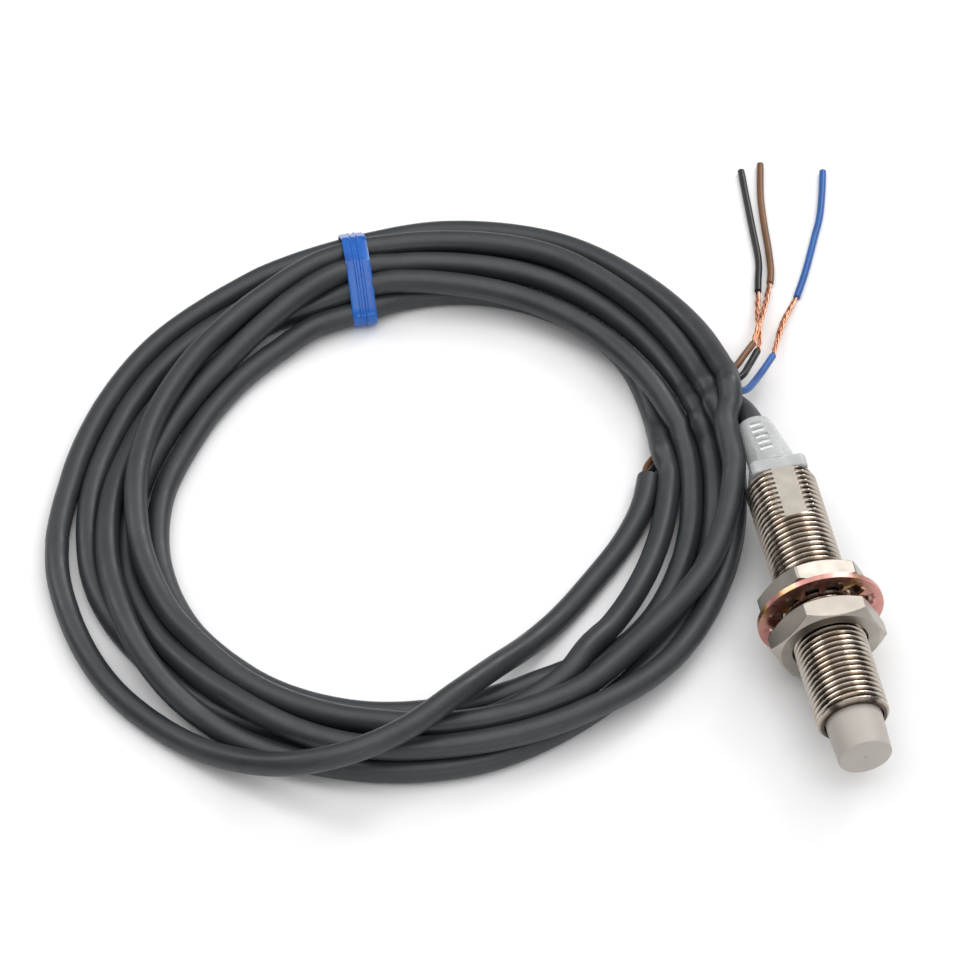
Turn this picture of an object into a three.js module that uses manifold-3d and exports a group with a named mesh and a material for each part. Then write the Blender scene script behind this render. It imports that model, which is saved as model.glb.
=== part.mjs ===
// Cylindrical inductive proximity sensor, M12 x 1, with two nuts, a toothed
// washer and its flying lead, which lies beside it as a tied coil.
//
// Millimetres, +Z up. The sensor's axis runs along Y, with the sensing face
// towards -Y. The origin is on the floor, under the middle of the sensor
// without its lead. A station is a distance behind the sensing face.

import * as THREE from 'three';
import { mergeVertices } from 'three/addons/utils/BufferGeometryUtils.js';
import Module from 'manifold-3d';

const wasm = await Module();
wasm.setup();

// ---- driving dimensions ------------------------------------------------

const ROUND_SEGMENTS = 32;
const SMALL_SEGMENTS = 16;
const CORD_SIDES = 8;

const CLEARANCE = 0.3;
const CORE_CLEARANCE = 0.2;
const SOLDER_GAP = 0.1;

const THREAD_DIAMETER = 12;
const THREAD_CHAMFER = 0.6;
const BARREL_LENGTH = 48;
const FLAT_LENGTH = 10;
const FLAT_DEPTH = 0.95;
const FLAT_WALL = 0.45;

const CAP_PROTRUSION = 7;
const CAP_SEAT_WALL = 1.05;
const CAP_TAPER = 0.25;
const CAP_SKIRT_LENGTH = 4;
const CAP_SIDE_WALL = 0.55;
const CAP_FACE_WALL = 0.7;
const CAP_EDGE = 0.25;

const CORE_LENGTH = 4;
const CORE_BACK = 1;
const CORE_RIM_WALL = 0.6;
const CORE_POST_DIAMETER = 3;
const CORE_POST_BORE = 1.2;
const CORE_LEAD_HOLE = 0.9;
const BOBBIN_WALL = 0.25;
const WINDING_MARGIN = 0.15;
const COIL_LEAD_DIAMETER = 0.3;
const COIL_LEAD_SPREAD = 2.35;
const COIL_LEAD_PAD = 1;

const BOARD_THICKNESS = 0.8;
const BOARD_FRONT_GAP = 2;
const BOARD_REAR_INSET = 2;
const LED_INSET = 4.5;

const CLAMP_SPIGOT_LENGTH = 5;
const CLAMP_SPIGOT_WALL = 0.9;
const CLAMP_FLANGE_DIAMETER = 11.8;
const CLAMP_FLANGE_WIDTH = 9.4;
const CLAMP_FLANGE_HEIGHT = 8.6;
const CLAMP_FLANGE_LENGTH = 2.5;
const CLAMP_ROOT_DIAMETER = 8.4;
const CLAMP_TIP_WALL = 0.55;
const CLAMP_CONE_LENGTH = 10;
const CLAMP_TIP_ROUND = 0.45;
const CLAMP_LEAN = 1.2;
const CLAMP_WEB = 1;
const WIRE_SOLDER_LENGTH = 2;

const NUT_ACROSS_FLATS = 17;
const NUT_THICKNESS = 4;
const NUT_FACE_RATIO = 0.97;
const NUT_CHAMFER_ANGLE = 30;
const NUT_FRONT_STATION = 21.9;
const PANEL_GAP = 2.05;
const NUT_FRONT_ROLL = 4;
const NUT_REAR_ROLL = 7;

const WASHER_DIAMETER = 21;
const WASHER_THICKNESS = 0.9;
const WASHER_RING_WIDTH = 2.1;
const WASHER_TEETH = 12;
const WASHER_TOOTH_SHARE = 0.55;
const WASHER_TOOTH_TAPER = 0.8;

const CORD_DIAMETER = 4;
const CORE_WIRE_DIAMETER = 1.25;
const STRAND_DIAMETER = 0.8;

const COIL_CENTRE = [-60.9, 37];
const COIL_OUTER_RADIUS = 55.5;
const COIL_INNER_RADIUS = 44.8;
const COIL_HEIGHT = 8.2;
const COIL_EDGE = 1.6;
const COIL_OVAL = 1.02;
const COIL_LONG_AXIS = 40;
const COIL_SEGMENTS = 64;
const NOTCH_WIDTH = 10;
const NOTCH_HEIGHT = 7.4;
const NOTCH_ANGLE = 38;
const NOTCH_CENTRE = [-10.5, 40];
const NOTCH_LENGTH = 34;
const NOTCH_MOUTH_START = 2;

const TIE_ANGLE = 86.9;
const TIE_WIDTH = 4.4;
const TIE_THICKNESS = 0.7;
const TIE_TAIL_START = 3;
const TIE_TAIL_ANGLE = 17;
const TIE_TAIL_POINTS = 5;

// The lead's route behind the clamp: down from the sensor's axis to the floor,
// and along the outside of the coil.
const LEAD_ROUTE = [
  [-1.8, 37.5, 9.7], [-2.5, 41, 7.6], [-3.1, 44.5, 5.2], [-3.5, 48, 3.2],
  [-3.95, 52, 2.2], [-5.3, 57, 2.05],
];

// The last turn: it leaves the coil at the far left, crosses over it in one low
// hump, and ends where the jacket is cut.
const TAIL_ROUTE = [
  [-118.7, 40, 2.2], [-118.9, 24.3, 2.05], [-114.3, 9.3, 2.05], [-105, -3, 2.4],
  [-96.2, -10.6, 5], [-88.4, -15.2, 8.8], [-79.5, -16.2, 10.9], [-70, -13.6, 11],
  [-61, -8.6, 10.6], [-53.4, -2.6, 7.2], [-46.5, 3, 3.6], [-40, 8.2, 2.1],
  [-33.2, 14.2, 2.05], [-26.6, 20.7, 2.05], [-21.6, 27.6, 2.05], [-19.2, 33.1, 2.05],
];

// Each conductor: its insulated root, the bared strands, and the slug of
// insulation that stays on the strands' ends.
const CONDUCTORS = [
  {
    name: 'brown',
    colour: 0x6b3f26,
    root: [
      [-19.8, 33.6, 1.6], [-18.7, 36.3, 1], [-15.4, 39.5, 0.7], [-12, 42.2, 0.8],
      [-9, 44.4, 2.6], [-6.6, 46.2, 5.2], [-4, 47.4, 7.1], [-0.7, 48.9, 7.6],
      [1.7, 51.8, 6.7], [4.1, 54.8, 5.6],
    ],
    bare: [[4.3, 55.2, 5.5], [7, 60.6, 4.6], [9.4, 65.9, 2.6], [11.2, 70.3, 1.2]],
    slug: [
      [11.4, 70.7, 1.1], [12.2, 73.2, 0.8], [13.1, 78.5, 0.65], [13.8, 84.4, 0.65],
      [14.7, 90.4, 0.65], [16.5, 97.9, 0.65],
    ],
  },
  {
    name: 'black',
    colour: 0x202124,
    root: [
      [-19.05, 33.4, 2.95], [-17.5, 35.5, 1.8], [-14.2, 37.9, 0.7], [-11.2, 40.1, 0.8],
      [-8.8, 42.1, 3.2], [-6.5, 43.7, 6.2], [-3.6, 45, 8.5], [-0.3, 46.3, 8.2],
      [2.2, 49.8, 6.6], [4.5, 53.2, 5.5],
    ],
    bare: [[4.75, 53.6, 5.3], [6.4, 58.9, 3.1], [7.5, 64.2, 1.7], [8.8, 69, 1]],
    slug: [
      [8.9, 69.4, 1.1], [9.6, 72, 0.8], [10.7, 76, 0.65], [11.5, 83.7, 0.65],
      [12.3, 92.2, 0.65], [12.8, 97.1, 0.65],
    ],
  },
  {
    name: 'blue',
    colour: 0x2460b4,
    root: [
      [-18.35, 33.2, 1.6], [-16.2, 34.3, 0.8], [-13.3, 36.2, 0.7], [-10.7, 37.7, 1.3],
      [-8.5, 39.1, 3.8], [-6.4, 40.3, 6.9], [-3.9, 41.2, 10.1], [-2.2, 41.7, 10.5],
      [-0.4, 42.5, 9.4], [3.3, 47.2, 6.6], [7, 52.2, 4.7],
    ],
    bare: [[7.2, 52.6, 4.6], [9.4, 57.4, 3], [11.6, 61.6, 2], [14.9, 66.4, 1]],
    slug: [
      [15.2, 66.8, 0.9], [18.2, 72.3, 0.65], [21.8, 79.7, 0.65], [23.7, 83.7, 0.65],
      [25.4, 88.6, 0.65], [27, 94, 0.65],
    ],
  },
];

// ---- derived dimensions ------------------------------------------------

const THREAD_RADIUS = THREAD_DIAMETER / 2;
const FLAT_DISTANCE = THREAD_RADIUS - FLAT_DEPTH;
const BORE_RADIUS = FLAT_DISTANCE - FLAT_WALL;
const CAP_SEAT_RADIUS = THREAD_RADIUS - CAP_SEAT_WALL;
const BARREL_FRONT = CAP_PROTRUSION;
const BARREL_REAR = BARREL_FRONT + BARREL_LENGTH;

const CAP_RADIUS = CAP_SEAT_RADIUS - CLEARANCE;
const CAP_FACE_RADIUS = CAP_RADIUS - CAP_TAPER;
const CAP_CAVITY_RADIUS = CAP_RADIUS - CAP_SIDE_WALL;
const CAP_REAR = BARREL_FRONT + CAP_SKIRT_LENGTH;
const CAP_SEAT_REAR = CAP_REAR + CLEARANCE;

const CORE_RADIUS = CAP_FACE_RADIUS - CAP_SIDE_WALL - CORE_CLEARANCE;
const CORE_FRONT = CAP_FACE_WALL + CLEARANCE;
const CORE_REAR = CORE_FRONT + CORE_LENGTH;
const CORE_FLOOR = CORE_REAR - CORE_BACK;
const CORE_RIM_RADIUS = CORE_RADIUS - CORE_RIM_WALL;
const CORE_POST_RADIUS = CORE_POST_DIAMETER / 2;
const BOBBIN_HUB_RADIUS = CORE_POST_RADIUS + CORE_CLEARANCE;
const BOBBIN_FLANGE_RADIUS = CORE_RIM_RADIUS - CORE_CLEARANCE;
const BOBBIN_FRONT = CORE_FRONT + CORE_CLEARANCE;
const BOBBIN_REAR = CORE_FLOOR - CORE_CLEARANCE;

const BOARD_FRONT = CORE_REAR + BOARD_FRONT_GAP;
const BOARD_REAR = BARREL_REAR - BOARD_REAR_INSET;
const CLAMP_SPIGOT_RADIUS = BORE_RADIUS - CLEARANCE;
const CLAMP_CHAMBER_RADIUS = CLAMP_SPIGOT_RADIUS - CLAMP_SPIGOT_WALL;
const BOARD_HALF_WIDTH = Math.min(CAP_CAVITY_RADIUS, CLAMP_CHAMBER_RADIUS) - CLEARANCE;
const CLAMP_SPIGOT_FRONT = BARREL_REAR - CLAMP_SPIGOT_LENGTH;
const CLAMP_FLANGE_FRONT = BARREL_REAR + CLEARANCE;
const CLAMP_FLANGE_REAR = CLAMP_FLANGE_FRONT + CLAMP_FLANGE_LENGTH;
const CLAMP_REAR = CLAMP_FLANGE_REAR + CLAMP_CONE_LENGTH;
const CORD_RADIUS = CORD_DIAMETER / 2;
const CORD_BORE_RADIUS = CORD_RADIUS + CLEARANCE;
const CLAMP_TIP_RADIUS = CORD_BORE_RADIUS + CLAMP_TIP_WALL;
const JACKET_START = CLAMP_FLANGE_REAR;

const NUT_CORNER_RADIUS = NUT_ACROSS_FLATS / 2 / Math.cos(Math.PI / 6);
const NUT_BORE_RADIUS = THREAD_RADIUS + CLEARANCE / 2;
const WASHER_STATION = NUT_FRONT_STATION + NUT_THICKNESS + PANEL_GAP;
const NUT_REAR_STATION = WASHER_STATION + WASHER_THICKNESS + CLEARANCE;

const SENSOR_LENGTH = CLAMP_REAR;
const AXIS_Z = Math.max(WASHER_DIAMETER / 2, NUT_CORNER_RADIUS);

// ---- helpers -----------------------------------------------------------

const sensor = new THREE.Group();
sensor.position.set(0, -SENSOR_LENGTH / 2, AXIS_Z);
const lead = new THREE.Group();
const group = new THREE.Group();
group.add(sensor, lead);

const radians = THREE.MathUtils.degToRad;

function addMesh(parent, name, geometry, material) {
  const mesh = new THREE.Mesh(geometry, material);
  mesh.name = name;
  parent.add(mesh);
  return mesh;
}

function finish(color, roughness, metalness) {
  return new THREE.MeshStandardMaterial({ color, roughness, metalness });
}

// A body of revolution about the sensor's axis, from [radius, station] pairs.
function turned(profile, segments = ROUND_SEGMENTS) {
  return new THREE.LatheGeometry(profile.map(([r, s]) => new THREE.Vector2(r, s)), segments);
}

// A tube, closed on itself, from [radius, station] pairs.
function turnedRing(profile, segments = ROUND_SEGMENTS) {
  return turned([...profile, profile[0]], segments);
}

function ringShape(innerRadius, outerRadius, front, rear) {
  return [[innerRadius, front], [outerRadius, front], [outerRadius, rear], [innerRadius, rear]];
}

// A closed outline through [radius, angle] pairs, on a Shape or a Path.
function polarOutline(outline, corners) {
  corners.forEach(([radius, angle], k) => {
    const point = [radius * Math.cos(angle), radius * Math.sin(angle)];
    if (k === 0) {
      outline.moveTo(...point);
    } else {
      outline.lineTo(...point);
    }
  });
  return outline;
}

function roundSection(diameter) {
  const corners = [];
  for (let i = 0; i < CORD_SIDES; i += 1) {
    corners.push([diameter / 2, (2 * Math.PI * i) / CORD_SIDES]);
  }
  return polarOutline(new THREE.Shape(), corners);
}

function tube(points, diameter, steps) {
  const path = new THREE.CatmullRomCurve3(
    points.map((p) => new THREE.Vector3(...p)), false, 'centripetal');
  return new THREE.ExtrudeGeometry(roundSection(diameter), { steps, extrudePath: path });
}

function toManifold(geometry) {
  const bare = geometry.clone();
  bare.deleteAttribute('normal');
  bare.deleteAttribute('uv');
  const merged = mergeVertices(bare, 1e-4);
  return new wasm.Manifold(new wasm.Mesh({
    numProp: 3,
    vertProperties: new Float32Array(merged.attributes.position.array),
    triVerts: new Uint32Array(merged.index.array),
  }));
}

function fromManifold(solid) {
  const mesh = solid.getMesh();
  const geometry = new THREE.BufferGeometry();
  geometry.setAttribute('position', new THREE.BufferAttribute(mesh.vertProperties, 3));
  geometry.setIndex(new THREE.BufferAttribute(mesh.triVerts, 1));
  geometry.computeVertexNormals();
  return geometry;
}

function cut(geometry, ...tools) {
  let solid = toManifold(geometry);
  for (const tool of tools) {
    solid = solid.subtract(toManifold(tool));
  }
  return fromManifold(solid);
}

function box(width, length, height, x, y, z) {
  return new THREE.BoxGeometry(width, length, height).translate(x, y, z);
}

// ---- materials ---------------------------------------------------------

const nickel = finish(0xb9b2a6, 0.3, 1);
const chromate = finish(0xb58a6a, 0.35, 1);
const capPlastic = finish(0xb4aca5, 0.55, 0);
const ferrite = finish(0x33302e, 0.7, 0);
const bobbinPlastic = finish(0xe4dcc8, 0.5, 0);
const enamelledCopper = finish(0xa5562c, 0.4, 1);
const boardLaminate = finish(0x2e6b3c, 0.6, 0);
const chipBlack = finish(0x222222, 0.6, 0);
const chipCeramic = finish(0xb89a6c, 0.5, 0);
const diodeGlass = finish(0xc46a3a, 0.2, 0);
const ledAmber = finish(0xe08a2a, 0.3, 0);
const clampPlastic = finish(0xcfcfca, 0.35, 0);
const jacket = finish(0x4b5053, 0.55, 0);
const tieVinyl = finish(0x145fbe, 0.35, 0);
const bareCopper = finish(0xd08a63, 0.35, 1);

// ---- the sensor --------------------------------------------------------

function addBarrel() {
  const blank = turnedRing([
    [CAP_SEAT_RADIUS, BARREL_FRONT],
    [THREAD_RADIUS - THREAD_CHAMFER, BARREL_FRONT],
    [THREAD_RADIUS, BARREL_FRONT + THREAD_CHAMFER],
    [THREAD_RADIUS, BARREL_REAR - THREAD_CHAMFER],
    [THREAD_RADIUS - THREAD_CHAMFER, BARREL_REAR],
    [BORE_RADIUS, BARREL_REAR],
    [BORE_RADIUS, CAP_SEAT_REAR],
    [CAP_SEAT_RADIUS, CAP_SEAT_REAR],
  ]);
  const flats = [1, -1].map((side) => box(
    THREAD_DIAMETER, FLAT_LENGTH * 2, THREAD_DIAMETER,
    0, BARREL_REAR, side * (FLAT_DISTANCE + THREAD_RADIUS)));
  addMesh(sensor, 'barrel', cut(blank, ...flats), nickel);
}

function addCap() {
  addMesh(sensor, 'sensing_cap', turned([
    [0, 0],
    [CAP_FACE_RADIUS - CAP_EDGE, 0],
    [CAP_FACE_RADIUS, CAP_EDGE],
    [CAP_RADIUS, BARREL_FRONT],
    [CAP_RADIUS, CAP_REAR],
    [CAP_CAVITY_RADIUS, CAP_REAR],
    [CAP_CAVITY_RADIUS, BARREL_FRONT],
    [CAP_FACE_RADIUS - CAP_SIDE_WALL, CAP_FACE_WALL],
    [0, CAP_FACE_WALL],
  ]), capPlastic);
}

function addCore() {
  const cup = turnedRing([
    [CORE_POST_BORE / 2, CORE_FRONT],
    [CORE_POST_RADIUS, CORE_FRONT],
    [CORE_POST_RADIUS, CORE_FLOOR],
    [CORE_RIM_RADIUS, CORE_FLOOR],
    [CORE_RIM_RADIUS, CORE_FRONT],
    [CORE_RADIUS, CORE_FRONT],
    [CORE_RADIUS, CORE_REAR],
    [CORE_POST_BORE / 2, CORE_REAR],
  ]);
  const holes = [1, -1].map((side) => new THREE.CylinderGeometry(
    CORE_LEAD_HOLE / 2, CORE_LEAD_HOLE / 2, CORE_BACK * 2, SMALL_SEGMENTS,
  ).translate(side * COIL_LEAD_SPREAD, CORE_REAR - CORE_BACK / 2, 0));
  addMesh(sensor, 'ferrite_core', cut(cup, ...holes), ferrite);
}

function addBobbin() {
  const outerHub = BOBBIN_HUB_RADIUS + BOBBIN_WALL;
  addMesh(sensor, 'coil_bobbin', turnedRing([
    [BOBBIN_HUB_RADIUS, BOBBIN_FRONT],
    [BOBBIN_FLANGE_RADIUS, BOBBIN_FRONT],
    [BOBBIN_FLANGE_RADIUS, BOBBIN_FRONT + BOBBIN_WALL],
    [outerHub, BOBBIN_FRONT + BOBBIN_WALL],
    [outerHub, BOBBIN_REAR - BOBBIN_WALL],
    [BOBBIN_FLANGE_RADIUS, BOBBIN_REAR - BOBBIN_WALL],
    [BOBBIN_FLANGE_RADIUS, BOBBIN_REAR],
    [BOBBIN_HUB_RADIUS, BOBBIN_REAR],
  ]), bobbinPlastic);
}

function addWinding() {
  addMesh(sensor, 'coil_winding', turnedRing(ringShape(
    BOBBIN_HUB_RADIUS + BOBBIN_WALL + WINDING_MARGIN,
    BOBBIN_FLANGE_RADIUS - WINDING_MARGIN,
    BOBBIN_FRONT + BOBBIN_WALL + WINDING_MARGIN,
    BOBBIN_REAR - BOBBIN_WALL - WINDING_MARGIN,
  )), enamelledCopper);
}

function addCoilLeads() {
  const padHeight = BOARD_THICKNESS / 2 + SOLDER_GAP + COIL_LEAD_DIAMETER / 2;
  [1, -1].forEach((side, index) => {
    addMesh(sensor, `coil_lead_${index + 1}`, tube([
      [side * COIL_LEAD_SPREAD, CORE_FLOOR + SOLDER_GAP, 0],
      [side * COIL_LEAD_SPREAD, CORE_REAR + SOLDER_GAP, 0],
      [side * COIL_LEAD_SPREAD, BOARD_FRONT - COIL_LEAD_DIAMETER, padHeight],
      [side * COIL_LEAD_SPREAD, BOARD_FRONT + COIL_LEAD_PAD, padHeight],
    ], COIL_LEAD_DIAMETER, 8), enamelledCopper);
  });
}

function addBoard() {
  const length = BOARD_REAR - BOARD_FRONT;
  addMesh(sensor, 'circuit_board',
    box(BOARD_HALF_WIDTH * 2, length, BOARD_THICKNESS, 0, BOARD_FRONT + length / 2, 0),
    boardLaminate);
}

// The parts soldered on the board, each centred at an x and a station; side is
// +1 for the board's top and -1 for its underside.
const BOARD_PARTS = [
  { name: 'oscillator_ic', size: [4.4, 5, 1.4], at: [0, CAP_REAR + 5], side: 1, material: chipBlack },
  { name: 'tuning_capacitor', size: [1.6, 3.2, 1], at: [0, CAP_REAR + 3], side: -1, material: chipCeramic },
  { name: 'supply_capacitor', size: [2.8, 3.5, 1.8], at: [0, CAP_REAR + 11.5], side: 1, material: chipCeramic },
  { name: 'output_transistor', size: [2.6, 4.4, 1.5], at: [0, CAP_REAR + 18], side: 1, material: chipBlack },
  { name: 'resistor_1', size: [1.25, 2, 0.5], at: [-1.4, CAP_REAR + 8.5], side: -1, material: chipBlack },
  { name: 'resistor_2', size: [1.25, 2, 0.5], at: [1.4, CAP_REAR + 8.5], side: -1, material: chipBlack },
  { name: 'resistor_3', size: [1.25, 2, 0.5], at: [0, CAP_REAR + 15], side: -1, material: chipBlack },
  { name: 'surge_diode', size: [1.8, 4, 1.6], at: [0, CAP_REAR + 24.5], side: 1, material: diodeGlass },
  { name: 'indicator_led', size: [1.3, 2, 1], at: [0, BOARD_REAR - LED_INSET], side: 1, material: ledAmber },
];

function addBoardParts() {
  for (const { name, size, at, side, material } of BOARD_PARTS) {
    const [width, length, height] = size;
    const z = side * (BOARD_THICKNESS / 2 + SOLDER_GAP + height / 2);
    addMesh(sensor, name, box(width, length, height, ...at, z), material);
  }
}

// How far the clamp's boot, and the lead in it, lean towards the coil at a station.
function clampLean(station) {
  return (-CLAMP_LEAN * Math.max(0, station - CLAMP_FLANGE_REAR)) / CLAMP_CONE_LENGTH;
}

// The clamp: a spigot, a flange cut square, and a tapered boot that leans with the lead.
function addClamp() {
  const blank = turnedRing([
    [CLAMP_CHAMBER_RADIUS, CLAMP_SPIGOT_FRONT],
    [CLAMP_SPIGOT_RADIUS, CLAMP_SPIGOT_FRONT],
    [CLAMP_SPIGOT_RADIUS, CLAMP_FLANGE_FRONT],
    [CLAMP_FLANGE_DIAMETER / 2, CLAMP_FLANGE_FRONT],
    [CLAMP_FLANGE_DIAMETER / 2, CLAMP_FLANGE_REAR],
    [CLAMP_ROOT_DIAMETER / 2, CLAMP_FLANGE_REAR],
    [CLAMP_TIP_RADIUS, CLAMP_REAR - CLAMP_TIP_ROUND],
    [CLAMP_TIP_RADIUS - CLAMP_TIP_ROUND, CLAMP_REAR],
    [CORD_BORE_RADIUS, CLAMP_REAR],
    [CORD_BORE_RADIUS, CLAMP_FLANGE_FRONT + CLAMP_WEB],
    [CLAMP_CHAMBER_RADIUS, CLAMP_FLANGE_FRONT],
  ]);
  const place = blank.attributes.position;
  for (let i = 0; i < place.count; i += 1) {
    place.setX(i, place.getX(i) + clampLean(place.getY(i)));
  }
  const middle = (CLAMP_FLANGE_FRONT + CLAMP_FLANGE_REAR) / 2;
  const trims = [1, -1].flatMap((side) => [
    box(THREAD_DIAMETER, CLAMP_FLANGE_LENGTH, THREAD_DIAMETER,
      side * (CLAMP_FLANGE_WIDTH / 2 + THREAD_RADIUS), middle, 0),
    box(THREAD_DIAMETER, CLAMP_FLANGE_LENGTH, THREAD_DIAMETER,
      0, middle, side * (CLAMP_FLANGE_HEIGHT / 2 + THREAD_RADIUS)),
  ]);
  addMesh(sensor, 'cable_clamp', cut(blank, ...trims), clampPlastic);
}

// The three insulated conductors between the jacket's inner end and the board:
// brown and blue side by side on its top, black under it.
function addInnerWires() {
  const radius = CORE_WIRE_DIAMETER / 2;
  const padHeight = BOARD_THICKNESS / 2 + SOLDER_GAP + radius;
  const near = radius + CORE_CLEARANCE;
  const apart = near + radius;
  const start = JACKET_START - CLEARANCE;
  const wires = [
    { name: 'inner_wire_brown', x: -1, side: 1, colour: 0x6b3f26 },
    { name: 'inner_wire_blue', x: 1, side: 1, colour: 0x2460b4 },
    { name: 'inner_wire_black', x: 0, side: -1, colour: 0x202124 },
  ];
  for (const { name, x, side, colour } of wires) {
    addMesh(sensor, name, tube([
      [x * near, start, side * near],
      [x * near, start - CORE_WIRE_DIAMETER, side * near],
      [x * apart, BOARD_REAR + radius, side * padHeight],
      [x * apart, BOARD_REAR - WIRE_SOLDER_LENGTH, side * padHeight],
    ], CORE_WIRE_DIAMETER, 8), finish(colour, 0.5, 0));
  }
}

// ---- nuts and washer ---------------------------------------------------

function hexNut() {
  const faceRadius = (NUT_ACROSS_FLATS / 2) * NUT_FACE_RATIO;
  const rise = (NUT_CORNER_RADIUS - faceRadius) * Math.tan(radians(NUT_CHAMFER_ANGLE));
  const prism = new THREE.CylinderGeometry(
    NUT_CORNER_RADIUS, NUT_CORNER_RADIUS, NUT_THICKNESS, 6,
  ).rotateY(Math.PI / 6).translate(0, NUT_THICKNESS / 2, 0);
  const chamfered = turned([
    [0, 0],
    [faceRadius, 0],
    [NUT_CORNER_RADIUS, rise],
    [NUT_CORNER_RADIUS, NUT_THICKNESS - rise],
    [faceRadius, NUT_THICKNESS],
    [0, NUT_THICKNESS],
  ], ROUND_SEGMENTS * 2);
  const bore = new THREE.CylinderGeometry(
    NUT_BORE_RADIUS, NUT_BORE_RADIUS, NUT_THICKNESS * 2, ROUND_SEGMENTS,
  ).translate(0, NUT_THICKNESS / 2, 0);
  const blank = toManifold(prism).intersect(toManifold(chamfered));
  return fromManifold(blank.subtract(toManifold(bore)));
}

function addNut(name, station, roll) {
  const nut = addMesh(sensor, name, hexNut(), nickel);
  nut.position.y = station;
  nut.rotation.y = radians(roll);
}

function addWasher() {
  const rim = WASHER_DIAMETER / 2;
  const root = rim - WASHER_RING_WIDTH;
  const tip = NUT_BORE_RADIUS + CLEARANCE / 2;
  const pitch = (2 * Math.PI) / WASHER_TEETH;
  const rootHalf = (pitch * WASHER_TOOTH_SHARE) / 2;
  const tipHalf = rootHalf * WASHER_TOOTH_TAPER;
  const rimPoints = ROUND_SEGMENTS * 2;
  const rimCorners = [];
  for (let i = 0; i < rimPoints; i += 1) {
    rimCorners.push([rim, (2 * Math.PI * i) / rimPoints]);
  }
  const toothCorners = [];
  for (let i = 0; i < WASHER_TEETH; i += 1) {
    const middle = pitch * i;
    toothCorners.push([root, middle - rootHalf], [tip, middle - tipHalf]);
    toothCorners.push([tip, middle + tipHalf], [root, middle + rootHalf]);
  }
  const shape = polarOutline(new THREE.Shape(), rimCorners);
  shape.holes.push(polarOutline(new THREE.Path(), toothCorners));
  const geometry = new THREE.ExtrudeGeometry(shape, {
    depth: WASHER_THICKNESS, bevelEnabled: false, steps: 1,
  });
  const washer = addMesh(sensor, 'toothed_washer', geometry, chromate);
  washer.rotation.x = Math.PI / 2;
  washer.position.y = WASHER_STATION + WASHER_THICKNESS;
}

// ---- the lead, its coil and its tie ------------------------------------

function coilRadius(base, angle) {
  const local = radians(angle - COIL_LONG_AXIS);
  return base / Math.hypot(Math.cos(local) / COIL_OVAL, Math.sin(local) * COIL_OVAL);
}

function coilPoint(radius, angle, z) {
  return [
    COIL_CENTRE[0] + radius * Math.cos(radians(angle)),
    COIL_CENTRE[1] + radius * Math.sin(radians(angle)),
    z,
  ];
}

function addLeadCord() {
  const middle = SENSOR_LENGTH / 2;
  const stations = [JACKET_START, (JACKET_START + CLAMP_REAR) / 2, CLAMP_REAR];
  const route = [
    ...stations.map((station) => [clampLean(station), station - middle, AXIS_Z]),
    ...LEAD_ROUTE,
  ];
  addMesh(lead, 'cable_lead', tube(route, CORD_DIAMETER, 16), jacket);
}

function addTailCord() {
  addMesh(lead, 'cable_tail', tube(TAIL_ROUTE, CORD_DIAMETER, 30), jacket);
}

function tieFrame() {
  const inner = coilRadius(COIL_INNER_RADIUS, TIE_ANGLE) - CLEARANCE;
  const outer = coilRadius(COIL_OUTER_RADIUS, TIE_ANGLE) + CLEARANCE;
  return { inner, outer, top: COIL_HEIGHT + CLEARANCE };
}

function addCoil() {
  const [inner, outer, height, edge] = [COIL_INNER_RADIUS, COIL_OUTER_RADIUS, COIL_HEIGHT, COIL_EDGE];
  const ring = turnedRing([
    [inner + edge, 0], [outer - edge, 0], [outer, edge], [outer, height - edge],
    [outer - edge, height], [inner + edge, height], [inner, height - edge], [inner, edge],
  ], COIL_SEGMENTS)
    .scale(COIL_OVAL, 1, 1 / COIL_OVAL)
    .rotateX(Math.PI / 2)
    .rotateZ(radians(COIL_LONG_AXIS))
    .translate(COIL_CENTRE[0], COIL_CENTRE[1], 0);
  const notch = box(NOTCH_LENGTH, NOTCH_WIDTH, NOTCH_HEIGHT * 2, 0, 0, 0)
    .rotateZ(radians(NOTCH_ANGLE))
    .translate(NOTCH_CENTRE[0], NOTCH_CENTRE[1], 0);
  const mouthLength = NOTCH_LENGTH / 2 - NOTCH_MOUTH_START;
  const mouth = box(
    mouthLength, NOTCH_WIDTH, COIL_HEIGHT * 3, NOTCH_MOUTH_START + mouthLength / 2, 0, 0,
  ).rotateZ(radians(NOTCH_ANGLE)).translate(NOTCH_CENTRE[0], NOTCH_CENTRE[1], 0);
  const groove = box(
    (outer - inner) * 2, TIE_WIDTH + 2 * CLEARANCE, 2 * (TIE_THICKNESS + 2 * CLEARANCE), 0, 0, 0,
  ).rotateZ(radians(TIE_ANGLE)).translate(...coilPoint((inner + outer) / 2, TIE_ANGLE, 0));
  addMesh(lead, 'cable_coil', cut(ring, notch, mouth, groove), jacket);
}

function addTieBand() {
  const { inner, outer, top } = tieFrame();
  const floor = CLEARANCE / 2;
  const shape = new THREE.Shape();
  shape.moveTo(inner - TIE_THICKNESS, floor);
  shape.lineTo(outer + TIE_THICKNESS, floor);
  shape.lineTo(outer + TIE_THICKNESS, top + TIE_THICKNESS);
  shape.lineTo(inner - TIE_THICKNESS, top + TIE_THICKNESS);
  const hole = new THREE.Path();
  hole.moveTo(inner, floor + TIE_THICKNESS);
  hole.lineTo(inner, top);
  hole.lineTo(outer, top);
  hole.lineTo(outer, floor + TIE_THICKNESS);
  shape.holes.push(hole);
  const geometry = new THREE.ExtrudeGeometry(shape, { depth: TIE_WIDTH, bevelEnabled: false })
    .translate(0, 0, -TIE_WIDTH / 2)
    .rotateX(Math.PI / 2);
  const band = addMesh(lead, 'tie_band', geometry, tieVinyl);
  band.rotation.z = radians(TIE_ANGLE);
  band.position.set(COIL_CENTRE[0], COIL_CENTRE[1], 0);
}

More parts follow.
